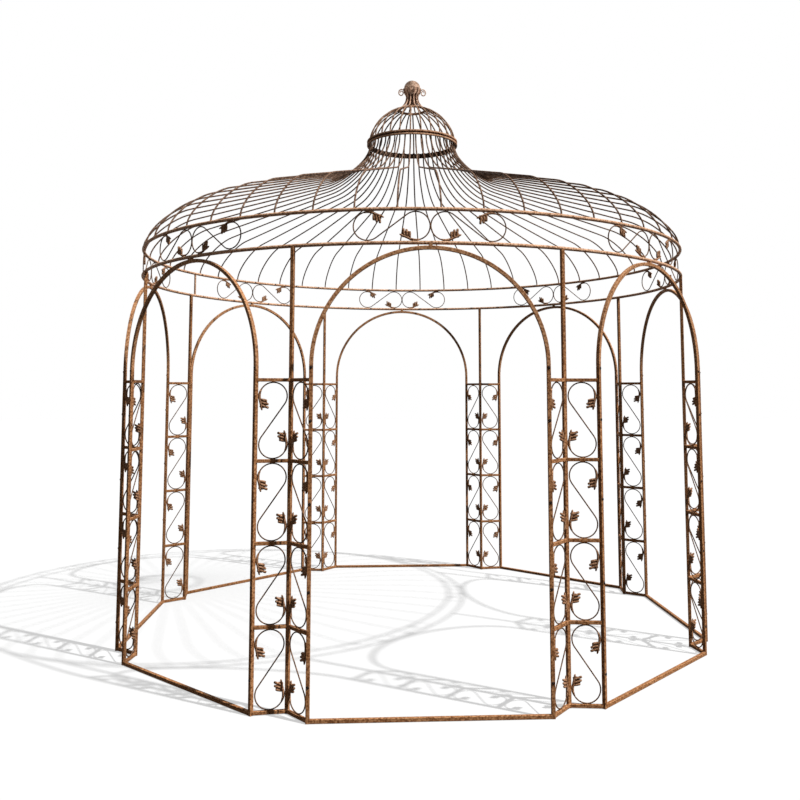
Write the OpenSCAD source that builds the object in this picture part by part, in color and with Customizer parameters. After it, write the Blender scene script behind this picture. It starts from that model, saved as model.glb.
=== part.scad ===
// Eight-sided garden gloriette of steel bar, in millimetres, +Z up, origin at the centre of the base.
// Bay 1 faces -Y and the numbers run counterclockwise seen from above.

/* [Plan] */
// Radius of the hoops, of the inner posts and of the planes of the arches
hoop_radius = 1850; // [1400:5:2400]
// Clear pitch of the two stiles of one bay, centre to centre
bay_width = 1196; // [900:2:1400]

/* [Bars] */
// Side of the square tube of posts, stiles and arches, and thickness of the round tube of the hoops
bar = 20; // [14:1:30]
// Side of the square bar of the lattice rails
rail = 18; // [12:1:26]
// Side of the bar of the scrolls
scroll_bar = 7; // [4:0.5:10]
// Side of the roof rods
rod = 10; // [6:1:14]
// Side of the short bar that ties the hoops
tie_bar = 12; // [8:1:18]
// Side of the bars of the collar
collar_bar = 11; // [8:1:16]

/* [Heights] */
// Height of the centre of the top lattice rail
top_rail = 1650; // [1200:10:2000]
// Length of the stiles above the centre of the top lattice rail
stile_rise = 72; // [40:1:200]
// Height of the lug between the crown of an arch and the lower hoop
lug = 5; // [3:1:40]
// Width of the lug along the arch
lug_width = 12; // [8:1:40]
// Height of the upper hoop above the lower hoop, centre to centre
frieze_rise = 175; // [120:5:260]

/* [Lattice] */
// Number of scroll cells in one lattice panel
cells = 4; // [2:1:6]
// Clear distance from a standing scroll to the middle of its post and of its stile
scroll_margin = 15.8; // [15:0.1:40]
// Length of a lying scroll of the frieze over four times the radius of its loops
frieze_stretch = 1.32; // [1.1:0.01:1.6]

/* [Roof] */
// Number of roof rods
roof_rods = 52; // [24:4:80]
// Height of the middle of the collar above the upper hoop
roof_rise = 862; // [600:5:1200]
// Height of the collar band
collar_band = 34; // [26:1:50]
// Radius of the collar's band, which stands round the rods
collar_radius = 316; // [200:2:400]
// Distance from the hoop inwards to the end of the shoulder
shoulder_run = 300; // [200:10:500]
// Height of the end of the shoulder above the upper hoop
shoulder_rise = 282; // [200:1:450]
// Distance from the rods in the collar outwards to the foot of the flare
flare_run = 317; // [150:1:400]
// Height of the foot of the flare above the upper hoop
flare_rise = 534; // [460:1:700]

/* [Lantern] */
// Number of neck rods
neck_rods = 12; // [8:2:18]
// Height of the lantern dome
lantern_rise = 240; // [120:2:320]
// Radius of the crown ring on the lantern
crown_radius = 92; // [70:2:120]
// Height of the crown ring
crown_band = 16; // [12:1:24]
// Height of the centre of the ball above the crown ring
ball_rise = 160; // [140:2:240]
// Radius of the ball of the finial
ball_radius = 60; // [50:1:75]
// Radius of the stem under the ball
stem_radius = 37; // [30:1:44]
// Height of the foot of the stem above the crown ring
stem_rise = 47; // [20:1:60]
// Radius of the side curls under the ball
curl_radius = 24; // [15:1:35]

/* [Hidden] */
$fn = 48;
bite = 0.5;
seat = 0.3;
corner = 0.8;
half_bay = bay_width / 2;
spring = top_rail + stile_rise;
lower_hoop_height = spring + half_bay + bar + lug;
upper_hoop_height = lower_hoop_height + frieze_rise;
hoop_gap = frieze_rise - bar;
frieze_middle = lower_hoop_height + frieze_rise / 2;
post_top = lower_hoop_height - bar / 2;
crown_gap = asin(seat / 2 / half_bay);
pier_reach = hoop_radius * cos(22.5) + half_bay * sin(22.5);
pier_half = hoop_radius * sin(22.5) - half_bay * cos(22.5);
panel_dx = pier_reach - hoop_radius;
panel_length = sqrt(panel_dx * panel_dx + pier_half * pier_half);
panel_angle = atan2(pier_half, panel_dx);
rail_foot = 2 + rail / 2;
rail_pitch = (top_rail - rail_foot) / cells;
cell_height = rail_pitch - rail;
loop_radius = min((panel_length - scroll_bar) / 2 - scroll_margin, 0.21 * (cell_height - scroll_bar));
frieze_loop = (hoop_gap - scroll_bar) / 2 - seat;
frieze_scroll = scroll_bar + 4 * frieze_stretch * frieze_loop;
frieze_depth = hoop_radius + scroll_bar - sqrt(hoop_radius * hoop_radius - frieze_scroll * frieze_scroll);
joint_shift = 1.5;
rod_step = 360 / roof_rods;
rod_turn = -88.3;
neck_turn = -78;
collar_height = upper_hoop_height + roof_rise;
collar_web = 6;
rod_head = collar_radius - collar_web / 2 - seat - rod / 2;
lantern_base = collar_height + collar_band / 2;
crown_height = lantern_base + lantern_rise;
neck_base = crown_height + crown_band / 2;
ball_height = crown_height + ball_rise;
neck_top = stem_radius + seat + rod / 2;
neck_rise = ball_height - sqrt(ball_radius * ball_radius - stem_radius * stem_radius) - seat - neck_base;
curl_bar = 6;
curl_drop = 21;
curl_reach = ball_radius + curl_radius + curl_bar / 2 - 3 * bite;

// ---- scrolls: an S standing upright, round ends of radius r at heights +c and -c ----
function upper_arc(r, c) = [
  for (i = [0 : 15]) let (t = 180 - (180 + asin(r / c)) * i / 15)
    [r * cos(t), c + r * sin(t), cos(t), sin(t)]
];
function edge(points, d) = [for (p = points) [p[0] + d * p[2], p[1] + d * p[3]]];
function turned(points) = [for (i = [len(points) - 1 : -1 : 0]) [-points[i][0], -points[i][1]]];
function reversed(points) = [for (i = [len(points) - 1 : -1 : 0]) points[i]];
function s_edge(r, c, d) = concat(edge(upper_arc(r, c), d), turned(edge(upper_arc(r, c), -d)));

module scroll(height, r, width) {
  c = (height - scroll_bar) / 2 - r;
  linear_extrude(height = width, center = true)
    polygon(concat(s_edge(r, c, scroll_bar / 2), reversed(s_edge(r, c, -scroll_bar / 2))));
}

// ---- piers ----
module lattice_panel() {
  for (i = [0 : cells])
    translate([panel_length / 2, 0, rail_foot + i * rail_pitch])
      cube([panel_length, rail, rail], center = true);
  for (i = [0 : cells - 1])
    translate([panel_length / 2, 0, rail_foot + (i + 0.5) * rail_pitch])
      rotate([90, 0, 0])
        mirror([1, 0, 0])
          scroll(cell_height + 2 * bite, loop_radius, scroll_bar);
}

module pier_side() {
  translate([pier_reach, pier_half, spring / 2])
    rotate([0, 0, 22.5])
      cube([bar, bar, spring], center = true);
  difference() {
    translate([hoop_radius, 0, 0])
      rotate([0, 0, panel_angle])
        lattice_panel();
    translate([hoop_radius - bar + corner, 0, post_top / 2])
      cube([bar + 2 * bar, bar + 2 * seat, post_top + bar], center = true);
    translate([hoop_radius, seat - 2 * bar, post_top / 2])
      cube([8 * bar, 4 * bar, post_top + bar], center = true);
  }
}

module pier(k) {
  color([0.36, 0.22, 0.15])
    rotate([0, 0, 45 * k - 112.5]) {
      pier_side();
      mirror([0, 1, 0])
        pier_side();
      translate([hoop_radius, 0, post_top / 2])
        cube([bar, bar, post_top], center = true);
    }
}

// ---- bays ----
module arch_half() {
  translate([hoop_radius, 0, spring])
    rotate([90, 0, 90])
      rotate_extrude(angle = 90 - crown_gap)
        translate([half_bay, 0])
          square([bar, bar], center = true);
  translate([hoop_radius, lug_width / 4 + seat / 2, post_top - (lug + bite) / 2])
    cube([bar, lug_width / 2 - seat, lug + bite], center = true);
}

module arch(k) {
  color([0.42, 0.26, 0.17])
    rotate([0, 0, 45 * k - 135]) {
      arch_half();
      mirror([0, 1, 0])
        arch_half();
    }
}

module sill(k) {
  color([0.33, 0.2, 0.14])
    rotate([0, 0, 45 * k - 135])
      translate([hoop_radius, 0, bar / 2])
        cube([bar, bay_width - bar, bar], center = true);
}

// ---- hoops and frieze: the lying scrolls are bent to the round of the hoops ----
function bow(r) = [for (i = [0 : 16]) let (t = -22.5 + 45 * i / 16) [r * cos(t), r * sin(t)]];

// sixteen flats, one of them level under the rods and one level on the posts
function tube_section(d) = [
  for (i = [0 : 15]) let (t = 22.5 * (i + 0.5)) d / 2 / cos(11.25) * [cos(t), sin(t)]
];

module hoop(height) {
  color([0.4, 0.25, 0.17])
    translate([0, 0, height])
      rotate_extrude($fn = 96)
        translate([hoop_radius, 0])
          polygon(tube_section(bar));
}

module frieze(k) {
  color([0.3, 0.2, 0.15])
    rotate([0, 0, 45 * k - 135])
      translate([0, 0, frieze_middle])
        intersection() {
          for (s = [0, 1])
            mirror([0, s, 0])
              translate([hoop_radius + scroll_bar / 2 - frieze_depth / 2, frieze_scroll / 2 - bite, 0])
                rotate([90, 0, 90])
                  rotate([0, 0, 90])
                    scroll(frieze_scroll, frieze_loop, frieze_depth);
          linear_extrude(height = hoop_gap, center = true)
            polygon(concat(bow(hoop_radius + scroll_bar / 2), reversed(bow(hoop_radius - scroll_bar / 2))));
        }
}

module hoop_joint() {
  color([0.3, 0.19, 0.13])
    rotate([0, 0, 157.5 - joint_shift])
      translate([hoop_radius, 0, frieze_middle])
        cube([tie_bar, tie_bar, hoop_gap], center = true);
}

// ---- bent rods: a line is a list of [point, half section], both as [radius, height] ----
function curve(a, b, c, d, t) = let (u = 1 - t)
  u * u * u * a + 3 * u * u * t * b + 3 * u * t * t * c + t * t * t * d;
function heading(a, b, c, d, t) = let (u = 1 - t)
  3 * u * u * (b - a) + 6 * u * t * (c - b) + 3 * t * t * (d - c);
function section(v) = [-v[1], v[0]] / norm(v);
function flat_end(v) = [-norm(v) / v[1], 0];
function bend(a, b, c, d, n, foot) = [
  for (i = [0 : n]) let (v = heading(a, b, c, d, i / n))
    [curve(a, b, c, d, i / n), i == 0 && foot ? flat_end(v) : section(v)]
];
function outline(line, w) = concat(
  [for (i = [0 : len(line) - 1]) line[i][0] + line[i][1] * w / 2],
  [for (i = [len(line) - 1 : -1 : 0]) line[i][0] - line[i][1] * w / 2]
);

module ribs(line, start, step, first, last) {
  for (i = [first : last])
    rotate([0, 0, start + i * step])
      rotate([90, 0, 0])
        linear_extrude(height = rod, center = true)
          polygon(outline(line, rod));
}

// ---- roof: a short round shoulder, a straight slope and a flare up inside the collar ----
function roof_line() = let (
  foot = [hoop_radius, bar / 2],
  shoulder = [hoop_radius - shoulder_run, shoulder_rise],
  flare = [rod_head + flare_run, flare_rise],
  head = [rod_head, roof_rise - collar_band / 2],
  slope = (flare[1] - shoulder[1]) / (flare[0] - shoulder[0])
) concat(
  bend(
    foot, foot + [0, 0.31 * (shoulder[1] - foot[1])],
    shoulder + 0.45 * shoulder_run * [1, slope], shoulder, 9, true
  ),
  bend(
    flare, flare - 0.42 * flare_run * [1, slope],
    head - [0, 0.37 * (head[1] - flare[1])], head, 8, false
  ),
  [[head + [0, collar_band], [-1, 0]]]
);

module roof(q) {
  color([0.3, 0.2, 0.16])
    translate([0, 0, upper_hoop_height])
      ribs(roof_line(), rod_turn, rod_step, (q - 1) * roof_rods / 4, q * roof_rods / 4 - 1);
}

module collar() {
  color([0.4, 0.25, 0.17])
    translate([0, 0, collar_height])
      rotate_extrude($fn = 64) {
        translate([collar_radius, 0])
          square([collar_web, collar_band], center = true);
        for (s = [-1, 1])
          translate([collar_radius + collar_web / 2 - 1 + collar_bar / 2, s * (collar_band - collar_bar) / 2])
            square([collar_bar, collar_bar], center = true);
      }
}

// ---- lantern on every second roof rod, neck and finial ----
function lantern_line() = let (span = rod_head - crown_radius) bend(
  [rod_head, 0], [rod_head, 0.35 * lantern_rise],
  [crown_radius + 0.6 * span, 0.88 * lantern_rise], [crown_radius, lantern_rise], 10, true
);

module lantern() {
  color([0.36, 0.23, 0.16]) {
    translate([0, 0, lantern_base])
      ribs(lantern_line(), rod_turn + rod_step, 2 * rod_step, 0, roof_rods / 2 - 1);
    translate([0, 0, crown_height])
      rotate_extrude($fn = 64)
        translate([crown_radius, 0])
          square([12, crown_band], center = true);
  }
}

function neck_line() = let (span = crown_radius - neck_top) bend(
  [crown_radius, 0], [crown_radius - 0.68 * span, 0.18 * neck_rise],
  [neck_top, 0.5 * neck_rise], [neck_top, neck_rise], 7, true
);

module neck() {
  color([0.42, 0.27, 0.18])
    translate([0, 0, neck_base])
      ribs(neck_line(), neck_turn, 360 / neck_rods, 0, neck_rods - 1);
}

module finial() {
  color([0.5, 0.33, 0.22])
    translate([0, 0, ball_height]) {
      translate([0, 0, stem_rise - ball_rise])
        cylinder(h = ball_rise - stem_rise, r = stem_radius);
      sphere(r = ball_radius);
      for (s = [0, 1])
        mirror([s, 0, 0])
          translate([curl_reach * cos(curl_drop), 0, -curl_reach * sin(curl_drop)])
            rotate([90, 0, 0])
              rotate_extrude()
                translate([curl_radius, 0])
                  square([curl_bar, curl_bar], center = true);
    }
}

pier(1);  // pier_1
pier(2);  // pier_2
pier(3);  // pier_3
pier(4);  // pier_4
pier(5);  // pier_5
pier(6);  // pier_6
pier(7);  // pier_7
pier(8);  // pier_8
arch(1);  // arch_1
arch(2);  // arch_2
arch(3);  // arch_3
arch(4);  // arch_4
arch(5);  // arch_5
arch(6);  // arch_6
arch(7);  // arch_7
arch(8);  // arch_8
sill(1);  // sill_1
sill(2);  // sill_2
sill(3);  // sill_3
sill(4);  // sill_4
sill(5);  // sill_5
sill(6);  // sill_6
sill(7);  // sill_7
sill(8);  // sill_8
frieze(1);  // frieze_1
frieze(2);  // frieze_2
frieze(3);  // frieze_3
frieze(4);  // frieze_4
frieze(5);  // frieze_5
frieze(6);  // frieze_6
frieze(7);  // frieze_7
frieze(8);  // frieze_8
hoop(lower_hoop_height);  // lower_hoop
hoop(upper_hoop_height);  // upper_hoop
hoop_joint();
roof(1);  // roof_1
roof(2);  // roof_2
roof(3);  // roof_3
roof(4);  // roof_4
collar();
lantern();
neck();
finial();
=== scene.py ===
import math
import bpy
from mathutils import Matrix, Vector


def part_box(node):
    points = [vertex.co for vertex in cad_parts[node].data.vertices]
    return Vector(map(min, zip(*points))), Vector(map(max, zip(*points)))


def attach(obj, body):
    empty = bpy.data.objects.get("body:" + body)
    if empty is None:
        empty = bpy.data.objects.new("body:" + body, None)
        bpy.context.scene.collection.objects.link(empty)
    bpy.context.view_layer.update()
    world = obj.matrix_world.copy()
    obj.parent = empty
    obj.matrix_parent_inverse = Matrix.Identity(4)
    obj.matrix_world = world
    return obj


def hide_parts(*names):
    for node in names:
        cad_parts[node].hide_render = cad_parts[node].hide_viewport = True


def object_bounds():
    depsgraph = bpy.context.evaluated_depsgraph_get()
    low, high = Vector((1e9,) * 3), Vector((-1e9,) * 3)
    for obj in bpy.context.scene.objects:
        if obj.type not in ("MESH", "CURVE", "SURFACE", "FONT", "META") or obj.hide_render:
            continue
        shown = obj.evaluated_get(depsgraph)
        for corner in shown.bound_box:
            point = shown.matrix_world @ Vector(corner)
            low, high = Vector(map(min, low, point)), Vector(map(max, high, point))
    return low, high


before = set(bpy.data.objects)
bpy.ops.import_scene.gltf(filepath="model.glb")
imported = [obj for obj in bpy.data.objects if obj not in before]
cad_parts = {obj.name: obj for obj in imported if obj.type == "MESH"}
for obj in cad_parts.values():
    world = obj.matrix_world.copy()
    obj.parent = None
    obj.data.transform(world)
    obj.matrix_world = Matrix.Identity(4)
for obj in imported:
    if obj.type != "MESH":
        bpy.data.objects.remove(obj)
cad_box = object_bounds()
world_up = Vector((0, 0, 1))


# ---- Standing place: a pale level floor in a white studio, seen from eye height a few steps away ----
# The key light stands high on the right and a little in front; a weak white sky fills the rest.
# The floor shows white to the camera and keeps a pale shadow, but throws little light back.
def link_nodes(tree, *pairs):
    """Joins each output to the input it is paired with."""
    for out_socket, in_socket in pairs:
        tree.links.new(out_socket, in_socket)


def seen_directly(tree):
    """One for rays that the camera, a gloss or a clear surface sends, nought for scattered light."""
    path = tree.nodes.new("ShaderNodeLightPath")
    first = tree.nodes.new("ShaderNodeMath")
    first.operation = "MAXIMUM"
    second = tree.nodes.new("ShaderNodeMath")
    second.operation = "MAXIMUM"
    link_nodes(
        tree,
        (path.outputs["Is Camera Ray"], first.inputs[0]),
        (path.outputs["Is Glossy Ray"], first.inputs[1]),
        (first.outputs[0], second.inputs[0]),
        (path.outputs["Is Transmission Ray"], second.inputs[1]),
    )
    return second.outputs[0]


sky_level = 0.15
sky = bpy.data.worlds.new("white_studio")
bpy.context.scene.world = sky
sky.use_nodes = True
sky.node_tree.nodes.clear()
sky_out = sky.node_tree.nodes.new("ShaderNodeOutputWorld")
sky_mix = sky.node_tree.nodes.new("ShaderNodeMixShader")
sky_fill = sky.node_tree.nodes.new("ShaderNodeBackground")
sky_fill.inputs["Strength"].default_value = sky_level
sky_fill.inputs["Color"].default_value = (1, 1, 1, 1)
sky_white = sky.node_tree.nodes.new("ShaderNodeBackground")
sky_white.inputs["Color"].default_value = (1, 1, 1, 1)
link_nodes(
    sky.node_tree,
    (seen_directly(sky.node_tree), sky_mix.inputs[0]),
    (sky_fill.outputs[0], sky_mix.inputs[1]),
    (sky_white.outputs[0], sky_mix.inputs[2]),
    (sky_mix.outputs[0], sky_out.inputs["Surface"]),
)

floor_half = 40.0
floor_drop = 0.001
floor_corners = ((-1, -1), (1, -1), (1, 1), (-1, 1))
floor_mesh = bpy.data.meshes.new("floor")
floor_mesh.from_pydata(
    [(x * floor_half, y * floor_half, -floor_drop) for x, y in floor_corners],
    [],
    [(0, 1, 2, 3)],
)
floor = bpy.data.objects.new("floor", floor_mesh)
bpy.context.scene.collection.objects.link(floor)
paving = bpy.data.materials.new("pale_floor")
paving.use_nodes = True
paving.node_tree.nodes.clear()
floor_out = paving.node_tree.nodes.new("ShaderNodeOutputMaterial")
floor_dull = paving.node_tree.nodes.new("ShaderNodeBsdfDiffuse")
floor_dull.inputs["Color"].default_value = (0.05, 0.05, 0.05, 1)
floor_pale = paving.node_tree.nodes.new("ShaderNodeBsdfDiffuse")
floor_pale.inputs["Color"].default_value = (0.30, 0.30, 0.30, 1)
floor_glow = paving.node_tree.nodes.new("ShaderNodeEmission")
floor_glow.inputs["Strength"].default_value = 0.56
floor_sum = paving.node_tree.nodes.new("ShaderNodeAddShader")
floor_mix = paving.node_tree.nodes.new("ShaderNodeMixShader")
link_nodes(
    paving.node_tree,
    (floor_pale.outputs[0], floor_sum.inputs[0]),
    (floor_glow.outputs[0], floor_sum.inputs[1]),
    (seen_directly(paving.node_tree), floor_mix.inputs[0]),
    (floor_dull.outputs[0], floor_mix.inputs[1]),
    (floor_sum.outputs[0], floor_mix.inputs[2]),
    (floor_mix.outputs[0], floor_out.inputs["Surface"]),
)
floor_mesh.materials.append(paving)

key_lamp = bpy.data.lights.new("key_light", "SUN")
key_lamp.energy = 5.4
key_lamp.angle = math.radians(1.2)
key_light = bpy.data.objects.new("key_light", key_lamp)
key_from = Vector((0.489, -0.313, 0.814))
key_light.rotation_euler = key_from.to_track_quat("Z", "Y").to_euler()
bpy.context.scene.collection.objects.link(key_light)

eye = bpy.data.cameras.new("eye")
eye.sensor_width = 36.0
eye.lens = 39.286
eye.shift_x = -0.01895
eye.shift_y = -0.10995
camera = bpy.data.objects.new("camera", eye)
camera.location = (-0.3170, -6.2311, 1.6)
camera.rotation_euler = (math.radians(95.085), 0, math.radians(-3.115))
bpy.context.scene.collection.objects.link(camera)
bpy.context.scene.camera = camera
bpy.context.scene.view_settings.view_transform = "Standard"


# ---- Pier frames: eight folded lattice piers, each an inner post and two outer stiles ----
# Post and stiles are square steel tube, the five pairs of rails are square bar cut between
# them and welded, and the whole is finished in a mottled rust-brown patina.
tube = 0.020
rail = 0.018
low_hoop, high_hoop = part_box("lower_hoop")
hoop_radius = (high_hoop.x - low_hoop.x - tube) / 2
post_top = low_hoop.z
# posts and lugs are let into the lower hoop, up to this height over its lowest line
coping = 0.008
low_arch, high_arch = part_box("arch_1")
spring = low_arch.z
half_bay = (high_arch.x - low_arch.x - tube) / 2
eighth = 45
fold = math.radians(eighth / 2)
pier_reach = hoop_radius * math.cos(fold) + half_bay * math.sin(fold)
pier_half = hoop_radius * math.sin(fold) - half_bay * math.cos(fold)
panel_length = math.hypot(pier_reach - hoop_radius, pier_half)
cells = 4
rail_drop = 0.072
ground_gap = 0.002
top_rail = spring - rail_drop
rail_foot = ground_gap + rail / 2
rail_pitch = (top_rail - rail_foot) / cells


def toward(degrees):
    """The level direction at an angle from the first axis."""
    return Vector((math.cos(math.radians(degrees)), math.sin(math.radians(degrees)), 0))


def rounded_bar(width, height, corner, steps=2):
    """The outline of a bar with rounded corners: place, facing and wear of each point."""
    edge_wear = 0.15
    outline = []
    for quarter in range(4):
        middle_a = (width / 2 - corner) * (1 if quarter in (0, 3) else -1)
        middle_b = (height / 2 - corner) * (1 if quarter in (0, 1) else -1)
        for step in range(steps + 1):
            angle = math.pi / 2 * (quarter + step / steps)
            face_a = math.cos(angle)
            face_b = math.sin(angle)
            wear = 1.0 if 0 < step < steps else edge_wear
            place = (middle_a + corner * face_a, middle_b + corner * face_b)
            outline.append((*place, face_a, face_b, wear))
    return outline


def round_bar(radius, sides, wear=0.35):
    """The outline of a round rod, evenly worn all over."""
    turns = [2 * math.pi * n / sides for n in range(sides)]
    return [(radius * math.cos(t), radius * math.sin(t), math.cos(t), math.sin(t), wear) for t in turns]


def new_shape():
    """An empty mesh in the making: points with facing and wear, faces with a mark for flat ones."""
    return {"points": [], "facing": [], "wear": [], "faces": [], "flat": []}


def sweep(shape, path, across, up, outline, closed=False, grow=None):
    """Carries an outline along a path; every point has its own pair of cross directions."""
    first = len(shape["points"])
    count = len(outline)
    for n, spot in enumerate(path):
        wide, high = grow[n] if grow else (1, 1)
        for a, b, face_a, face_b, wear in outline:
            shape["points"].append(spot + across[n] * (a * wide) + up[n] * (b * high))
            shape["facing"].append((across[n] * face_a + up[n] * face_b).normalized())
            shape["wear"].append(wear)
    forward = across[0].cross(up[0]).dot(path[1] - path[0]) > 0
    rings = len(path)
    for n in range(rings if closed else rings - 1):
        here = first + n * count
        there = first + (n + 1) % rings * count
        for c in range(count):
            after = (c + 1) % count
            quad = (here + c, here + after, there + after, there + c)
            shape["faces"].append(quad if forward else quad[::-1])
            shape["flat"].append(False)
    if not closed:
        start = tuple(range(first, first + count))
        end = tuple(range(first + (rings - 1) * count, first + rings * count))
        shape["faces"] += [start[::-1], end] if forward else [start, end[::-1]]
        shape["flat"] += [True, True]


def straight(shape, start, end, across, outline):
    """A straight bar from start to end, its outline's first side along across."""
    along = (end - start).normalized()
    up = along.cross(across).normalized()
    sweep(shape, [start, end], [across, across], [up, up], outline)


def make_piece(shape, name, finish, nodes=()):
    """Turns a shape into a mesh object with exact facings, and hands it to the frame."""
    mesh = bpy.data.meshes.new(name)
    mesh.from_pydata(shape["points"], [], shape["faces"])
    mesh.polygons.foreach_set("use_smooth", [not flat for flat in shape["flat"]])
    wear = mesh.attributes.new("wear", "FLOAT", "POINT")
    wear.data.foreach_set("value", shape["wear"])
    facings = []
    for face, flat in zip(shape["faces"], shape["flat"]):
        for corner in face:
            facings.append((0, 0, 0) if flat else tuple(shape["facing"][corner]))
    mesh.normals_split_custom_set(facings)
    mesh.materials.append(finish)
    mesh.validate()
    piece = bpy.data.objects.new(name, mesh)
    bpy.context.scene.collection.objects.link(piece)
    hand_over(piece, nodes)


def hand_over(piece, nodes=()):
    """Everything is one body; a piece takes the place of the nodes it is drawn for."""
    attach(piece, "root")
    if nodes:
        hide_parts(*nodes)


def patina(name, deep, body, worn, metal=0.0, gloss=0.06, grain=1.0):
    """Rust-brown patina: clouds, finger-wide mottling, fine pits, and corners rubbed lighter."""
    material = bpy.data.materials.new(name)
    material.use_nodes = True
    tree = material.node_tree
    shader = tree.nodes["Principled BSDF"]
    place = tree.nodes.new("ShaderNodeTexCoord")

    def noise(scale, detail, rough):
        node = tree.nodes.new("ShaderNodeTexNoise")
        node.inputs["Scale"].default_value = scale
        node.inputs["Detail"].default_value = detail
        node.inputs["Roughness"].default_value = rough
        tree.links.new(place.outputs["Object"], node.inputs["Vector"])
        return node.outputs["Fac"]

    def ramp(source, *stops):
        node = tree.nodes.new("ShaderNodeValToRGB")
        while len(node.color_ramp.elements) < len(stops):
            node.color_ramp.elements.new(0.5)
        for element, (spot, colour) in zip(node.color_ramp.elements, stops):
            element.position = spot
            element.color = (*colour, 1)
        tree.links.new(source, node.inputs["Fac"])
        return node.outputs["Color"]

    def grey(level):
        return (level, level, level)

    def feed(socket, value):
        if isinstance(value, bpy.types.NodeSocket):
            tree.links.new(value, socket)
        elif isinstance(value, tuple):
            socket.default_value = (*value, 1)
        else:
            socket.default_value = value

    def mix(kind, factor, first, second):
        node = tree.nodes.new("ShaderNodeMix")
        node.data_type = "RGBA"
        node.blend_type = kind
        feed(node.inputs["Factor"], factor)
        feed(node.inputs[6], first)
        feed(node.inputs[7], second)
        return node.outputs[2]

    def combine(kind, first, second):
        node = tree.nodes.new("ShaderNodeMath")
        node.operation = kind
        feed(node.inputs[0], first)
        feed(node.inputs[1], second)
        return node.outputs[0]

    rubbed_gain = 1.25
    pit_dark = 0.45
    pit_relief = 0.6
    clouds = noise(scale=6.0, detail=3.0, rough=0.55)
    mottle = noise(scale=95.0 * grain, detail=5.0, rough=0.62)
    pits = noise(scale=300.0 * grain, detail=3.0, rough=0.6)
    rubbed = tree.nodes.new("ShaderNodeAttribute")
    rubbed.attribute_name = "wear"
    colour = ramp(mottle, (0.30, deep), (0.49, body), (0.68, worn))
    shade = ramp(clouds, (0.34, grey(0.84)), (0.66, grey(1.10)))
    colour = mix("MULTIPLY", 1.0, colour, shade)
    patches = ramp(mottle, (0.42, grey(0)), (0.56, grey(0.75)))
    patchy = combine("MULTIPLY", rubbed.outputs["Fac"], patches)
    colour = mix("MIX", patchy, colour, tuple(min(1, rubbed_gain * c) for c in worn))
    holes = ramp(pits, (0.60, grey(0)), (0.70, grey(0.65)))
    colour = mix("MIX", holes, colour, tuple(pit_dark * c for c in deep))
    tree.links.new(colour, shader.inputs["Base Color"])
    tree.links.new(ramp(mottle, (0.35, grey(0.78)), (0.65, grey(0.52))), shader.inputs["Roughness"])
    shader.inputs["Metallic"].default_value = metal
    shader.inputs["Specular IOR Level"].default_value = gloss
    relief = combine("ADD", mottle, combine("MULTIPLY", pits, pit_relief))
    bump = tree.nodes.new("ShaderNodeBump")
    bump.inputs["Strength"].default_value = 0.5
    bump.inputs["Distance"].default_value = 0.0008
    tree.links.new(relief, bump.inputs["Height"])
    tree.links.new(bump.outputs["Normal"], shader.inputs["Normal"])
    return material


tube_patina = patina("tube_patina", (0.088, 0.029, 0.009), (0.285, 0.118, 0.044), (0.55, 0.290, 0.140))
tube_outline = rounded_bar(tube, tube, corner=0.0022)
rail_outline = rounded_bar(rail, rail, corner=0.0018)
# stiles end this far under the arch's foot; rails end inside post and stile, this far from the axes
joint_gap = 0.0012
rail_from_post = 0.004
rail_from_stile = 0.002
rail_heights = [rail_foot + n * rail_pitch for n in range(cells + 1)]
piers = []
for number in range(1, 9):
    azimuth = eighth * (number - 2.5)
    out = toward(azimuth)
    side = toward(azimuth + 90)
    stiles = []
    for hand in (-1, 1):
        foot = out * pier_reach + side * (hand * pier_half)
        stiles.append((foot, toward(azimuth + hand * eighth / 2)))
    piers.append({"number": number, "out": out, "post": out * hoop_radius, "stiles": stiles})

for pier in piers:
    shape = new_shape()
    post = pier["post"]
    straight(shape, post, post + world_up * (post_top + coping), pier["out"], tube_outline)
    for foot, face in pier["stiles"]:
        straight(shape, foot, foot + world_up * (spring - joint_gap), face, tube_outline)
        along = (foot - post).normalized()
        for height in rail_heights:
            lift = world_up * height
            start = post + lift + along * rail_from_post
            end = foot + lift - along * rail_from_stile
            straight(shape, start, end, world_up, rail_outline)
    name = "pier_frame_%d" % pier["number"]
    make_piece(shape, name, tube_patina, ["pier_%d" % pier["number"]])


# ---- Pier scrolls: an S of round bar in every cell of the lattice, eight to a pier ----
# The bar is seven millimetres thick and bent cold round a former; each S is welded to the
# rails over and under it.
scroll_thick = 0.007
cell_height = rail_pitch - rail
# from the axes of post and stile to the outside of a loop
loop_clearance = 0.0158
loop_radius = (panel_length - scroll_thick) / 2 - loop_clearance
scroll_outline = round_bar(scroll_thick / 2, sides=8)
scroll_patina = patina(
    "scroll_patina", (0.034, 0.016, 0.008), (0.100, 0.050, 0.027), (0.28, 0.160, 0.095), grain=1.3
)


def scroll_line(height, radius, steps=26):
    """The middle line of a standing S from its top end to its foot, with the side it faces."""
    rise = height / 2 - radius
    lean = math.asin(radius / rise)
    half = []
    for n in range(steps + 1):
        t = math.pi - (math.pi + lean) * n / steps
        half.append((radius * math.cos(t), rise + radius * math.sin(t), math.cos(t), math.sin(t)))
    other = [(-x, -z, a, b) for x, z, a, b in reversed(half)]
    return half + other


def lay_bar(shape, line, place):
    """Bends the bar along an S; place turns flat coordinates into a point and three directions."""
    path = []
    across = []
    up = []
    for x, z, a, b in line:
        spot, run, lift, out = place(x, z)
        path.append(spot)
        across.append(run * a + lift * b)
        up.append(out)
    sweep(shape, path, across, up, scroll_outline)


leaf_spots = []
bead_spots = []


def mark(spots, spot, run, lift, grow=1.0):
    """Notes a place for a repeated part: where it sits and how its first two axes lie."""
    run = run.normalized()
    out = run.cross(lift).normalized()
    turn = Matrix((run, out.cross(run), out)).transposed().to_euler()
    spots.append((tuple(spot), tuple(turn), grow))


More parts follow.
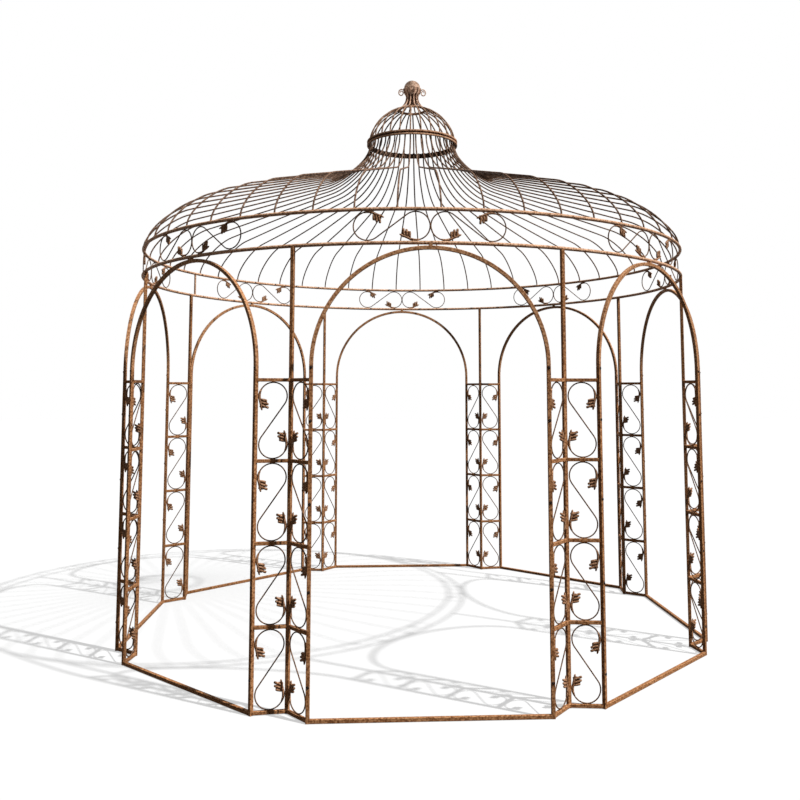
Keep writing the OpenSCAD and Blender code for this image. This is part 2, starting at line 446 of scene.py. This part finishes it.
# an S is this much taller than its cell and presses on both rails; beads sit on both its faces
scroll_bite = 0.0006
bead_below = 0.0015
bead_front = 0.0030
stand_line = scroll_line(cell_height - scroll_thick + scroll_bite, loop_radius)
crest = stand_line[0][1] + loop_radius + scroll_thick / 2
for pier in piers:
    shape = new_shape()
    for foot, face in pier["stiles"]:
        along = (foot - pier["post"]).normalized()
        across_panel = along.cross(world_up)
        for n in range(cells):
            centre = pier["post"] + along * (panel_length / 2)
            centre += world_up * (rail_foot + (n + 0.5) * rail_pitch)

            def place(x, z):
                return centre - along * x + world_up * z, -along, world_up, across_panel

            lay_bar(shape, stand_line, place)
            for end, down in ((0, -1), (-1, 1)):
                x, z = stand_line[end][:2]
                mark(leaf_spots, centre - along * x + world_up * z, world_up * down, along * down)
            for rail_side in (-1, 1):
                touch = centre + world_up * (rail_side * (crest - bead_below))
                for front in (-1, 1):
                    spot = touch + across_panel * (front * bead_front)
                    mark(bead_spots, spot, along, across_panel * front)
    name = "pier_scrolls_%d" % pier["number"]
    make_piece(shape, name, scroll_patina, ["pier_%d" % pier["number"]])


# ---- Ground bars: one square tube between the stiles of every bay ----
# They lie on the ground, are welded to the stiles and keep the piers at their spacing.
bays = [(number, toward(eighth * (number - 3)), toward(eighth * (number - 1))) for number in range(1, 9)]
for number, out, side in bays:
    middle = out * hoop_radius + world_up * (tube / 2)
    reach = side * (half_bay - tube / 2)
    shape = new_shape()
    straight(shape, middle - reach, middle + reach, out, tube_outline)
    make_piece(shape, "ground_bar_%d" % number, tube_patina, ["sill_%d" % number])


# ---- Arches: a square tube bent to a half round over each bay ----
# Its feet are plugged on the stile tops over a smaller inner tube and bolted; a short
# lug on the crown is welded under the lower hoop.
arch_patina = patina("arch_patina", (0.130, 0.047, 0.017), (0.365, 0.168, 0.074), (0.62, 0.350, 0.190))
plug = 0.0165
plug_below = 0.03
plug_above = 0.01
plug_outline = rounded_bar(plug, plug, corner=0.0015)
lug = 0.012
lug_bite = 0.001
lug_outline = rounded_bar(lug, tube, corner=0.0012)
arch_steps = 56
for number, out, side in bays:
    middle = out * hoop_radius + world_up * spring
    path = []
    across = []
    for n in range(arch_steps + 1):
        t = math.pi * n / arch_steps
        ray = side * math.cos(t) + world_up * math.sin(t)
        path.append(middle + ray * half_bay)
        across.append(ray)
    shape = new_shape()
    sweep(shape, path, across, [out] * len(path), tube_outline)
    for hand in (-1, 1):
        foot = middle + side * (hand * half_bay)
        straight(shape, foot - world_up * plug_below, foot + world_up * plug_above, out, plug_outline)
    crown = middle + world_up * (half_bay + tube / 2)
    lug_rise = world_up * (post_top + coping - crown.z)
    straight(shape, crown - world_up * lug_bite, crown + lug_rise, side, lug_outline)
    make_piece(shape, "arch_bar_%d" % number, arch_patina, ["arch_%d" % number])


# ---- Hoops: two rings of round tube that carry the frieze and the roof ----
# They are rolled in segments and joined over the posts, whose ends are cut to the round;
# one short upright bar ties them at the back left.
hoop_steps = 160
hoop_outline = round_bar(tube / 2, sides=16)
hoop_patina = patina("hoop_patina", (0.155, 0.064, 0.027), (0.480, 0.260, 0.145), (0.75, 0.490, 0.330))


def ring(shape, radius, height, outline, steps):
    """A level closed ring round the axis."""
    path = []
    across = []
    for n in range(steps):
        ray = toward(360 * n / steps)
        path.append(ray * radius + world_up * height)
        across.append(ray)
    sweep(shape, path, across, [world_up] * steps, outline, closed=True)


for name, node in (("hoop_low", "lower_hoop"), ("hoop_high", "upper_hoop")):
    low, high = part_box(node)
    shape = new_shape()
    ring(shape, hoop_radius, (low.z + high.z) / 2, hoop_outline, hoop_steps)
    make_piece(shape, name, hoop_patina, [node])

tie_bar = 0.012
tie_bite = 0.0025
low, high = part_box("hoop_joint")
out = Vector((low.x + high.x, low.y + high.y, 0)).normalized()
tie_foot = out * hoop_radius + world_up * (low.z - tie_bite)
tie_top = tie_foot + world_up * (high.z - low.z + 2 * tie_bite)
shape = new_shape()
straight(shape, tie_foot, tie_top, out, rounded_bar(tie_bar, tie_bar, corner=0.0012))
make_piece(shape, "joint_bar", hoop_patina, ["hoop_joint"])


# ---- Frieze scrolls: a mirrored pair of lying S scrolls over every bay ----
# The same round bar as in the piers, bent to the round of the hoops and welded to them where
# the loops touch; the two meet back to back over the crown of the arch.
frieze_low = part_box("lower_hoop")[1].z
frieze_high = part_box("upper_hoop")[0].z
frieze_gap = frieze_high - frieze_low
frieze_mid = (frieze_low + frieze_high) / 2
frieze_play = 0.0003
frieze_loop = (frieze_gap - scroll_thick) / 2 - frieze_play
frieze_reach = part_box("frieze_1")[1].x
# along the hoop, from the middle of an S to the middle of each of its loops
loop_offset = frieze_reach / 2 - scroll_thick / 4 - frieze_loop
lie_line = scroll_line(frieze_reach - scroll_thick / 2, frieze_loop)
# beads sit a little inside the loop's crest and out from its middle, and are smaller than others
frieze_bead_in = 0.0010
frieze_bead_out = 0.0022
frieze_bead_size = 0.8
frieze_crest = frieze_loop + scroll_thick / 2 - frieze_bead_in
# the stem carries the loop a little further round before the fingers open
beyond = math.radians(12)
frieze_leaf_spots = []
for number in range(1, 9):
    azimuth = eighth * (number - 3)
    shape = new_shape()
    for hand in (-1, 1):

        def place(x, z):
            # a standing S laid on its side: its height runs round the hoop
            run = hand * (frieze_reach / 2 - z)
            bearing = azimuth + math.degrees(math.asin(run / hoop_radius))
            out = toward(bearing)
            spot = out * hoop_radius + world_up * (frieze_mid + x)
            return spot, world_up, toward(bearing + 90) * -hand, out

        lay_bar(shape, lie_line, place)
        for end in (-1, 1):
            for hoop_side in (-1, 1):
                spot, lift, run, out = place(hoop_side * frieze_crest, end * loop_offset)
                seat = spot + out * frieze_bead_out
                mark(bead_spots, seat, lift, out.cross(lift), frieze_bead_size)
        for end in (1, -1):
            drop = frieze_loop * math.cos(beyond)
            leaf_run = end * loop_offset - end * frieze_loop * math.sin(beyond)
            spot, lift, run, out = place(-end * drop, leaf_run)
            onward = (lift * math.sin(beyond) - run * math.cos(beyond)) * end
            inward = (lift * math.cos(beyond) + run * math.sin(beyond)) * end
            mark(frieze_leaf_spots, spot, onward, inward)
    name = "frieze_scrolls_%d" % number
    make_piece(shape, name, scroll_patina, ["frieze_%d" % number])


# ---- Cast leaves: a small cast hand of ridged fingers on both ends of every scroll ----
# Its thick stem is slipped over the end of the bar and follows the loop; three thick fingers
# stand close together on its inside, joined at the root by a thin web, and one runs on.
leaf_patina = patina(
    "leaf_patina", (0.060, 0.024, 0.011), (0.225, 0.105, 0.050), (0.52, 0.310, 0.190), grain=1.2
)
leaf_outline = round_bar(1.0, sides=6)


def flat_rod(shape, line, sizes):
    """A flattened cast rib along a line in the leaf's plane; sizes are half width and half depth."""
    path = [Vector((x, y, 0)) for x, y in line]
    across = []
    for n in range(len(path)):
        ahead = path[min(n + 1, len(path) - 1)] - path[max(n - 1, 0)]
        across.append(Vector((ahead.y, -ahead.x, 0)).normalized())
    sweep(shape, path, across, [world_up] * len(path), leaf_outline, grow=sizes)


def blend(weights, places):
    """The weighted mean of flat places."""
    return tuple(sum(w * place[i] for w, place in zip(weights, places)) for i in (0, 1))


def bow(start, middle, end, stops):
    """Points on a bent line that leaves start towards middle and comes to end."""
    spots = []
    for t in stops:
        weights = ((1 - t) * (1 - t), 2 * t * (1 - t), t * t)
        spots.append(blend(weights, (start, middle, end)))
    return spots


leaf_shape = new_shape()
leaf_bend = loop_radius
stem_line = []
for run in (-0.036, -0.024, -0.012, 0.0, 0.012, 0.026):
    angle = run / leaf_bend
    stem_line.append((leaf_bend * math.sin(angle), leaf_bend * (1 - math.cos(angle))))
stem_line += [(0.040, 0.0075), (0.054, 0.0100), (0.066, 0.0125), (0.072, 0.0140)]
stem_sizes = [(0.0042, 0.0044), (0.0058, 0.0060), (0.0066, 0.0068), (0.0070, 0.0070), (0.0072, 0.0068)]
stem_sizes += [(0.0070, 0.0064), (0.0064, 0.0058), (0.0058, 0.0052), (0.0050, 0.0044), (0.0024, 0.0022)]
flat_rod(leaf_shape, stem_line, stem_sizes)
finger_sizes = [(0.0048, 0.0050), (0.0058, 0.0062), (0.0066, 0.0064), (0.0068, 0.0062)]
finger_sizes += [(0.0052, 0.0046), (0.0020, 0.0018)]
finger_ends = (
    ((0.016, 0.003), (0.019, 0.023), (0.025, 0.039)),
    ((0.030, 0.005), (0.036, 0.027), (0.043, 0.047)),
    ((0.045, 0.008), (0.053, 0.029), (0.060, 0.048)),
)
finger_stops = (0.0, 0.28, 0.58, 0.84, 0.97, 1.0)
for start, middle, end in finger_ends:
    flat_rod(leaf_shape, bow(start, middle, end, finger_stops), finger_sizes)
web_line = [(0.036, 0.004), (0.038, 0.016), (0.040, 0.028), (0.042, 0.037)]
web_sizes = [(0.0200, 0.0024), (0.0225, 0.0030), (0.0215, 0.0022), (0.0140, 0.0012)]
flat_rod(leaf_shape, web_line, web_sizes)


def plain_shape(shape, name, finish):
    """A small repeated part as a mesh object of its own, round all over."""
    mesh = bpy.data.meshes.new(name)
    mesh.from_pydata(shape["points"], [], shape["faces"])
    mesh.polygons.foreach_set("use_smooth", [True] * len(mesh.polygons))
    wear = mesh.attributes.new("wear", "FLOAT", "POINT")
    wear.data.foreach_set("value", shape["wear"])
    mesh.materials.append(finish)
    part = bpy.data.objects.new(name, mesh)
    bpy.context.scene.collection.objects.link(part)
    return part


def new_tree(name, *sockets):
    """An empty node tree with named inputs, its input node and the inputs' identifiers."""
    tree = bpy.data.node_groups.new(name, "GeometryNodeTree")
    ids = {}
    for label, kind in sockets:
        item = tree.interface.new_socket(name=label, in_out="INPUT", socket_type="NodeSocket" + kind)
        ids[label] = item.identifier
    tree.interface.new_socket(name="Result", in_out="OUTPUT", socket_type="NodeSocketGeometry")
    return tree, tree.nodes.new("NodeGroupInput"), ids


def end_tree(tree, result, finish):
    """Every tree ends by making its copies real, rounding them and giving them their finish."""
    real = tree.nodes.new("GeometryNodeRealizeInstances")
    smooth = tree.nodes.new("GeometryNodeSetShadeSmooth")
    coat = tree.nodes.new("GeometryNodeSetMaterial")
    last = tree.nodes.new("NodeGroupOutput")
    link_nodes(
        tree,
        (result, real.inputs["Geometry"]),
        (real.outputs["Geometry"], smooth.inputs["Geometry"]),
        (smooth.outputs["Geometry"], coat.inputs["Geometry"]),
        (finish, coat.inputs["Material"]),
        (coat.outputs["Geometry"], last.inputs["Result"]),
    )


def settle(host, tree, ids, values, name):
    """Runs a node tree on a host mesh and keeps only the finished mesh, as a new object."""
    modifier = host.modifiers.new("build", "NODES")
    modifier.node_group = tree
    for label, value in values.items():
        modifier[ids[label]] = value
    graph = bpy.context.evaluated_depsgraph_get()
    mesh = bpy.data.meshes.new_from_object(host.evaluated_get(graph))
    mesh.name = name
    piece = bpy.data.objects.new(name, mesh)
    bpy.context.scene.collection.objects.link(piece)
    host.modifiers.remove(modifier)
    bpy.data.objects.remove(host)
    return piece


spread_tree, spread_in, spread_ids = new_tree(
    "set_at_marks",
    ("Marks", "Geometry"),
    ("Part", "Object"),
    ("Uneven", "Float"),
    ("Seed", "Int"),
    ("Finish", "Material"),
)
part_info = spread_tree.nodes.new("GeometryNodeObjectInfo")
turn_read = spread_tree.nodes.new("GeometryNodeInputNamedAttribute")
turn_read.data_type = "FLOAT_VECTOR"
turn_read.inputs["Name"].default_value = "turn"
turn_made = spread_tree.nodes.new("FunctionNodeEulerToRotation")
grow_read = spread_tree.nodes.new("GeometryNodeInputNamedAttribute")
grow_read.data_type = "FLOAT"
grow_read.inputs["Name"].default_value = "grow"
chance = spread_tree.nodes.new("FunctionNodeRandomValue")
chance.data_type = "FLOAT"
least = spread_tree.nodes.new("ShaderNodeMath")
least.operation = "SUBTRACT"
least.inputs[0].default_value = 1.0
most = spread_tree.nodes.new("ShaderNodeMath")
most.operation = "ADD"
most.inputs[0].default_value = 1.0
sized = spread_tree.nodes.new("ShaderNodeMath")
sized.operation = "MULTIPLY"
setter = spread_tree.nodes.new("GeometryNodeInstanceOnPoints")
link_nodes(
    spread_tree,
    (spread_in.outputs["Part"], part_info.inputs["Object"]),
    (spread_in.outputs["Uneven"], least.inputs[1]),
    (spread_in.outputs["Uneven"], most.inputs[1]),
    (least.outputs[0], chance.inputs[2]),
    (most.outputs[0], chance.inputs[3]),
    (spread_in.outputs["Seed"], chance.inputs["Seed"]),
    (chance.outputs[1], sized.inputs[0]),
    (grow_read.outputs["Attribute"], sized.inputs[1]),
    (turn_read.outputs["Attribute"], turn_made.inputs["Euler"]),
    (spread_in.outputs["Marks"], setter.inputs["Points"]),
    (part_info.outputs["Geometry"], setter.inputs["Instance"]),
    (turn_made.outputs["Rotation"], setter.inputs["Rotation"]),
    (sized.outputs[0], setter.inputs["Scale"]),
)
end_tree(spread_tree, setter.outputs["Instances"], spread_in.outputs["Finish"])


def set_at(spots, part, name, finish, uneven=0.0, seed=1):
    """Sets a copy of the part at every noted place and joins them in one piece."""
    mesh = bpy.data.meshes.new(name + "_marks")
    mesh.from_pydata([spot for spot, turn, grow in spots], [], [])
    turns = mesh.attributes.new("turn", "FLOAT_VECTOR", "POINT")
    turns.data.foreach_set("vector", [value for spot, turn, grow in spots for value in turn])
    grows = mesh.attributes.new("grow", "FLOAT", "POINT")
    grows.data.foreach_set("value", [grow for spot, turn, grow in spots])
    host = bpy.data.objects.new(name + "_marks", mesh)
    bpy.context.scene.collection.objects.link(host)
    values = {"Part": part, "Uneven": uneven, "Seed": seed, "Finish": finish}
    hand_over(settle(host, spread_tree, spread_ids, values, name))


leaf = plain_shape(leaf_shape, "leaf_pattern", leaf_patina)
set_at(leaf_spots, leaf, "pier_leaves", leaf_patina)
set_at(frieze_leaf_spots, leaf, "frieze_leaves", leaf_patina)
bpy.data.objects.remove(leaf)


# ---- Bolts: blackened steel bolts with domed heads up the outward face of every stile ----
# The bays are hung between the piers with five bolts a side; each head stands on a thin washer.
bolt_dark = patina("bolt_dark", (0.008, 0.005, 0.004), (0.016, 0.010, 0.007), (0.050, 0.030, 0.021))


def turned_part(profile, sides):
    """A part turned about its third axis from a list of radius and height."""
    shape = new_shape()
    outline = round_bar(1.0, sides, wear=0.5)
    path = [world_up * height for radius, height in profile]
    count = len(path)
    grow = [(radius, radius) for radius, height in profile]
    sweep(shape, path, [Vector((1, 0, 0))] * count, [Vector((0, 1, 0))] * count, outline, grow=grow)
    return shape


bolt_profile = (
    (0.0080, -0.0010),
    (0.0080, 0.0006),
    (0.0068, 0.0009),
    (0.0065, 0.0022),
    (0.0050, 0.0035),
    (0.0022, 0.0041),
)
bolt = plain_shape(turned_part(bolt_profile, sides=10), "bolt_pattern", bolt_dark)
bolt_heights = (0.170, 0.618, 1.040, 1.446, 1.712)
bolt_spots = []
for pier in piers:
    for foot, face in pier["stiles"]:
        sideways = world_up.cross(face)
        for height in bolt_heights:
            mark(bolt_spots, foot + face * (tube / 2) + world_up * height, sideways, world_up)
set_at(bolt_spots, bolt, "stile_bolts", bolt_dark, uneven=0.04, seed=3)
bpy.data.objects.remove(bolt)


# ---- Roof rods: fifty-two round rods from the upper hoop up to the collar ----
# Each is bent to a short round shoulder, a straight slope and a flare, welded on top of
# the hoop and inside the collar.
rod_radius = 0.005
rod_sides = 8
rod_patina = patina(
    "rod_patina", (0.062, 0.033, 0.020), (0.150, 0.086, 0.056), (0.34, 0.220, 0.150), grain=0.45
)
rod_tree, rod_in, rod_ids = new_tree(
    "rods_round_the_axis",
    ("Line", "Geometry"),
    ("Rods", "Int"),
    ("Start angle", "Float"),
    ("Step angle", "Float"),
    ("Rod radius", "Float"),
    ("Sides", "Int"),
    ("Finish", "Material"),
)
rod_curve = rod_tree.nodes.new("GeometryNodeMeshToCurve")
rod_round = rod_tree.nodes.new("GeometryNodeCurvePrimitiveCircle")
rod_skin = rod_tree.nodes.new("GeometryNodeCurveToMesh")
rod_skin.inputs["Fill Caps"].default_value = True
rod_marks = rod_tree.nodes.new("GeometryNodePoints")
rod_index = rod_tree.nodes.new("GeometryNodeInputIndex")
rod_steps = rod_tree.nodes.new("ShaderNodeMath")
rod_steps.operation = "MULTIPLY_ADD"
rod_turn = rod_tree.nodes.new("ShaderNodeCombineXYZ")
rod_round_axis = rod_tree.nodes.new("FunctionNodeEulerToRotation")
rod_copies = rod_tree.nodes.new("GeometryNodeInstanceOnPoints")
link_nodes(
    rod_tree,
    (rod_in.outputs["Line"], rod_curve.inputs["Mesh"]),
    (rod_in.outputs["Rod radius"], rod_round.inputs["Radius"]),
    (rod_in.outputs["Sides"], rod_round.inputs["Resolution"]),
    (rod_curve.outputs["Curve"], rod_skin.inputs["Curve"]),
    (rod_round.outputs["Curve"], rod_skin.inputs["Profile Curve"]),
    (rod_in.outputs["Rods"], rod_marks.inputs["Count"]),
    (rod_index.outputs["Index"], rod_steps.inputs[0]),
    (rod_in.outputs["Step angle"], rod_steps.inputs[1]),
    (rod_in.outputs["Start angle"], rod_steps.inputs[2]),
    (rod_steps.outputs[0], rod_turn.inputs["Z"]),
    (rod_turn.outputs[0], rod_round_axis.inputs["Euler"]),
    (rod_marks.outputs[0], rod_copies.inputs["Points"]),
    (rod_skin.outputs["Mesh"], rod_copies.inputs["Instance"]),
    (rod_round_axis.outputs["Rotation"], rod_copies.inputs["Rotation"]),
)
end_tree(rod_tree, rod_copies.outputs["Instances"], rod_in.outputs["Finish"])


def bend(a, b, c, d, steps):
    """A smooth bend from a to d that leaves towards b and arrives from c, as radius and height."""
    spots = []
    for n in range(steps + 1):
        t = n / steps
        u = 1 - t
        weights = (u * u * u, 3 * u * u * t, 3 * u * t * t, t * t * t)
        spots.append(blend(weights, (a, b, c, d)))
    return spots


def rods(line, count, start, step, radius, name, finish, nodes):
    """A set of like rods round the axis, each bent to the same line of radius and height."""
    mesh = bpy.data.meshes.new(name + "_line")
    mesh.from_pydata([(r, 0, z) for r, z in line], [(n, n + 1) for n in range(len(line) - 1)], [])
    host = bpy.data.objects.new(name + "_line", mesh)
    bpy.context.scene.collection.objects.link(host)
    values = {
        "Rods": count,
        "Start angle": math.radians(start),
        "Step angle": math.radians(step),
        "Rod radius": radius,
        "Sides": rod_sides,
        "Finish": finish,
    }
    hand_over(settle(host, rod_tree, rod_ids, values, name), nodes)


low_collar, high_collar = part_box("collar")
hoop_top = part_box("upper_hoop")[1].z
hoop_mid = hoop_top - tube / 2
rod_count = 52
rod_step = 360 / rod_count
rod_start = -88.3
collar_depth = 0.0213
rod_bite = 0.003
rod_head = high_collar.x - collar_depth
roof_foot = (hoop_radius, hoop_top - rod_bite)
shoulder = (hoop_radius - 0.300, hoop_mid + 0.282)
flare = (rod_head + 0.317, hoop_mid + 0.534)
head = (rod_head, low_collar.z)
slope = (flare[1] - shoulder[1]) / (flare[0] - shoulder[0])
# how far each end pulls its bend: a share of the rise at foot and head, a level run on the slope
foot_pull = 0.31
shoulder_pull = 0.135
flare_pull = 0.133
head_pull = 0.37
bend_steps = 14
roof_line = bend(
    roof_foot,
    (roof_foot[0], roof_foot[1] + foot_pull * (shoulder[1] - roof_foot[1])),
    (shoulder[0] + shoulder_pull, shoulder[1] + shoulder_pull * slope),
    shoulder,
    bend_steps,
)
roof_line += bend(
    flare,
    (flare[0] - flare_pull, flare[1] - flare_pull * slope),
    (head[0], head[1] - head_pull * (head[1] - flare[1])),
    head,
    bend_steps,
)
roof_line.append((rod_head, high_collar.z))
rods(
    roof_line, rod_count, rod_start, rod_step, rod_radius,
    "roof_rods", rod_patina, ["roof_1", "roof_2", "roof_3", "roof_4"],
)


# ---- Collar: two bars on a band, a ring round the heads of the roof rods ----
# The bars lie on the outside of the band with a groove between them; the rods are welded
# to the inside.
collar_bar = 0.011
band_thick = 0.006
band_inset = 0.013
collar_steps = 96
collar_mid = (low_collar.z + high_collar.z) / 2
collar_rise = high_collar.z - low_collar.z
collar_out = high_collar.x
# The band's near-black colour is painted shade: it stands for the shadow in the groove between the two
# bars and on the band's inner face.
collar_groove_shade = patina("collar_groove_shade", (0.018, 0.010, 0.006), (0.055, 0.028, 0.017), (0.15, 0.085, 0.055))
shape = new_shape()
band_outline = rounded_bar(band_thick, collar_rise, corner=0.001)
ring(shape, collar_out - band_inset, collar_mid, band_outline, collar_steps)
make_piece(shape, "collar_band", collar_groove_shade, ["collar"])
shape = new_shape()
collar_outline = rounded_bar(collar_bar, collar_bar, corner=0.0022)
for lift in (-1, 1):
    height = collar_mid + lift * (collar_rise - collar_bar) / 2
    ring(shape, collar_out - collar_bar / 2, height, collar_outline, collar_steps)
make_piece(shape, "collar_bars", hoop_patina, ["collar"])


# ---- Lantern: a small dome of twenty-six rods on every second roof rod ----
# The rods close in on the crown ring, a flat bar bent to a circle.
# The lantern rods are the same steel as the roof rods they continue, but coloured lighter: painted light
# for the sun falling on the top of the dome.
lantern_lit_patina = patina(
    "lantern_lit_patina", (0.090, 0.045, 0.026), (0.260, 0.150, 0.096), (0.50, 0.335, 0.230), grain=0.45
)
lantern_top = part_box("lantern")[1].z
crown_radius = 0.092
crown_thick = 0.012
crown_high = 0.016
crown_mid = lantern_top - crown_high / 2
lantern_span = rod_head - crown_radius
lantern_rise = crown_mid - high_collar.z
# the dome stands up steeply at its foot and comes in nearly level under the crown ring
dome_foot_pull = 0.35
dome_head_out = 0.6
dome_head_up = 0.88
dome_steps = 18
lantern_line = bend(
    (rod_head, high_collar.z),
    (rod_head, high_collar.z + dome_foot_pull * lantern_rise),
    (crown_radius + dome_head_out * lantern_span, high_collar.z + dome_head_up * lantern_rise),
    (crown_radius, crown_mid),
    dome_steps,
)
rods(
    lantern_line, rod_count // 2, rod_start + rod_step, 2 * rod_step, rod_radius,
    "lantern_rods", lantern_lit_patina, ["lantern"],
)
crown_steps = 64
crown_outline = rounded_bar(crown_thick, crown_high, corner=0.002)
shape = new_shape()
ring(shape, crown_radius, crown_mid, crown_outline, crown_steps)
make_piece(shape, "crown_ring", hoop_patina, ["lantern"])


# ---- Neck: twelve rods drawn in from the crown ring to hold the ball like a calyx ----
# They close round the ball's stem, part again under the ball and end on its widest line.
crown_patina = patina(
    "crown_patina", (0.170, 0.085, 0.048), (0.395, 0.230, 0.145), (0.62, 0.430, 0.310),
    metal=0.3, gloss=0.5, grain=0.7,
)
ball_radius = 0.060
ball_z = cad_box[1][2] - ball_radius
stem_radius = 0.037
neck_rod = 0.005
neck_play = 0.0003
neck_waist = stem_radius + neck_rod + neck_play
neck_base = lantern_top
neck_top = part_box("neck")[1].z
neck_rise = neck_top - neck_base
neck_span = crown_radius - neck_waist
# the rods leave the crown ring nearly level, stand upright at the stem and part below the ball
neck_foot_in = 0.68
neck_foot_up = 0.18
neck_stand_up = 0.50
neck_part = 0.014
neck_steps = 12
neck_line = bend(
    (crown_radius, neck_base),
    (crown_radius - neck_foot_in * neck_span, neck_base + neck_foot_up * neck_rise),
    (neck_waist, neck_base + neck_stand_up * neck_rise),
    (neck_waist, neck_top - neck_part),
    neck_steps,
)
calyx_reach = ball_radius + 0.0035
for rise_angle in range(-42, 0, 10):
    turn = math.radians(rise_angle)
    neck_line.append((calyx_reach * math.cos(turn), ball_z + calyx_reach * math.sin(turn)))
neck_count = 12
neck_start = -78
rods(
    neck_line, neck_count, neck_start, 360 / neck_count, neck_rod,
    "neck_rods", crown_patina, ["neck"],
)


# ---- Finial: a hollow pressed ball and its stem, with a small curl of rod on either side ----
# The ball is spun from sheet and stands on a length of tube; the curls spring from the ball's
# widest line, run out and down and roll in on themselves.
stem_foot = ball_z - 0.113
stem_top = (stem_radius, ball_z - 0.048)
stem_profile = [(0.030, stem_foot), (stem_radius, stem_foot + 0.001), stem_top]
ball_steps = 22
ball_from = -50
ball_sweep = 139
ball_profile = [stem_top]
for n in range(ball_steps + 1):
    turn = math.radians(ball_from + ball_sweep * n / ball_steps)
    ball_profile.append((ball_radius * math.cos(turn), ball_z + ball_radius * math.sin(turn)))
# The stem is a real length of tube, but its dark brown is painted shade: it stands for the shadow inside
# the cage of neck rods under the ball.
stem_shaded_patina = patina("stem_shaded_patina", (0.030, 0.015, 0.009), (0.120, 0.060, 0.036), (0.30, 0.180, 0.120))
stem_shape = turned_part(stem_profile, sides=28)
make_piece(stem_shape, "finial_stem", stem_shaded_patina, ["finial"])
ball_shape = turned_part(ball_profile, sides=36)
make_piece(ball_shape, "finial_ball", crown_patina, ["finial"])

# each curl winds from curl_from through curl_sweep degrees about a middle, drawing in as it goes
curl_rod = 0.0045
curl_steps = 40
curl_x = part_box("finial")[1].x - 0.027
curl_z = ball_z - 0.0306
curl_from = 128
curl_sweep = 480
curl_reach = 0.0262
curl_closing = 0.0165
curl_wide = 0.84
curl_tall = 1.05
curl_taper = 0.25
curl_root = 0.004
curl_root_swell = 1.15
curl_outline = round_bar(curl_rod, rod_sides)
shape = new_shape()
for hand in (-1, 1):
    path = []
    grow = []
    for n in range(curl_steps + 1):
        t = n / curl_steps
        # out from the ball, over and down, then a closing turn inwards
        turn = math.radians(curl_from - curl_sweep * t)
        reach = curl_reach - curl_closing * t
        x = curl_x + curl_wide * reach * math.cos(turn)
        path.append(Vector((hand * x, 0, curl_z + curl_tall * reach * math.sin(turn))))
        grow.append((1.0 - curl_taper * t, 1.0 - curl_taper * t))
    path.insert(0, Vector((hand * (ball_radius - curl_root), 0, ball_z - curl_root)))
    grow.insert(0, (curl_root_swell, curl_root_swell))
    across = []
    for n in range(len(path)):
        ahead = (path[min(n + 1, len(path) - 1)] - path[max(n - 1, 0)]).normalized()
        across.append(Vector((ahead.z, 0, -ahead.x)))
    sweep(shape, path, across, [Vector((0, 1, 0))] * len(path), curl_outline, grow=grow)
make_piece(shape, "finial_curls", crown_patina, ["finial"])


# ---- Weld beads: small domed beads where scrolls, rails and rods are tacked to their neighbours ----
# They are left as laid and have darkened with the rest; longer welds show as larger beads.
bead_patina = patina(
    "bead_patina", (0.060, 0.026, 0.012), (0.190, 0.088, 0.045), (0.42, 0.250, 0.150), grain=1.5
)
rail_bead = 1.25
rod_foot_bead = 1.35
rod_head_bead = 1.1
rod_end_bead = 1.9
ground_bead = 1.3
lug_bead = 0.9


def lay_bead(spot, facing, run, grow):
    """Notes a place for a bead whose dome points along facing."""
    mark(bead_spots, spot, run, facing.cross(run), grow)


# the beads of a rail sit just outside the faces of post and stile, this far from their axes
post_weld = 0.0118
stile_weld = 0.0112
for pier in piers:
    for foot, face in pier["stiles"]:
        along = (foot - pier["post"]).normalized()
        across_panel = along.cross(world_up)
        rail_ends = ((pier["post"] + along * post_weld, along), (foot - along * stile_weld, -along))
        for height in rail_heights:
            for end, inward in rail_ends:
                for lift in (-1, 1) if height > rail else (1,):
                    edge = end + world_up * (height + lift * rail / 2)
                    facing = (inward + world_up * lift).normalized()
                    lay_bead(edge, facing, across_panel, rail_bead)

# one bead on every rod's foot and one beside its head; a larger one where a lantern rod goes on
hoop_sink = 0.0008
collar_sink = 0.0004
collar_side = 0.0040
for n in range(rod_count):
    ray = toward(rod_start + n * rod_step)
    around = world_up.cross(ray)
    rod_foot = ray * hoop_radius + world_up * (hoop_top - hoop_sink)
    lay_bead(rod_foot, world_up, around, rod_foot_bead)
    collar_top = world_up * (high_collar.z - collar_sink)
    lay_bead(ray * (rod_head + collar_side) + collar_top, world_up, around, rod_head_bead)
    if n % 2 == 1:
        lay_bead(ray * rod_head + collar_top, world_up, around, rod_end_bead)

# one bead at each end of a ground bar, and one on either side of every lug's top
lug_side = 0.0070
lug_weld_drop = 0.0015
lug_weld_in = 0.002
for number, out, side in bays:
    for hand in (-1, 1):
        corner = side * (hand * (half_bay - tube / 2)) + out * hoop_radius + world_up * tube
        lay_bead(corner, (world_up - side * hand).normalized(), out, ground_bead)
        seat = out * hoop_radius + side * (hand * lug_side) + world_up * (post_top - lug_weld_drop)
        lay_bead(seat + out * (tube / 2 - lug_weld_in), out, side, lug_bead)

bead_profile = ((0.0050, -0.0012), (0.0046, 0.0008), (0.0024, 0.0022))
bead = plain_shape(turned_part(bead_profile, sides=6), "bead_pattern", bead_patina)
set_at(bead_spots, bead, "weld_beads", bead_patina, uneven=0.25, seed=7)
bpy.data.objects.remove(bead)
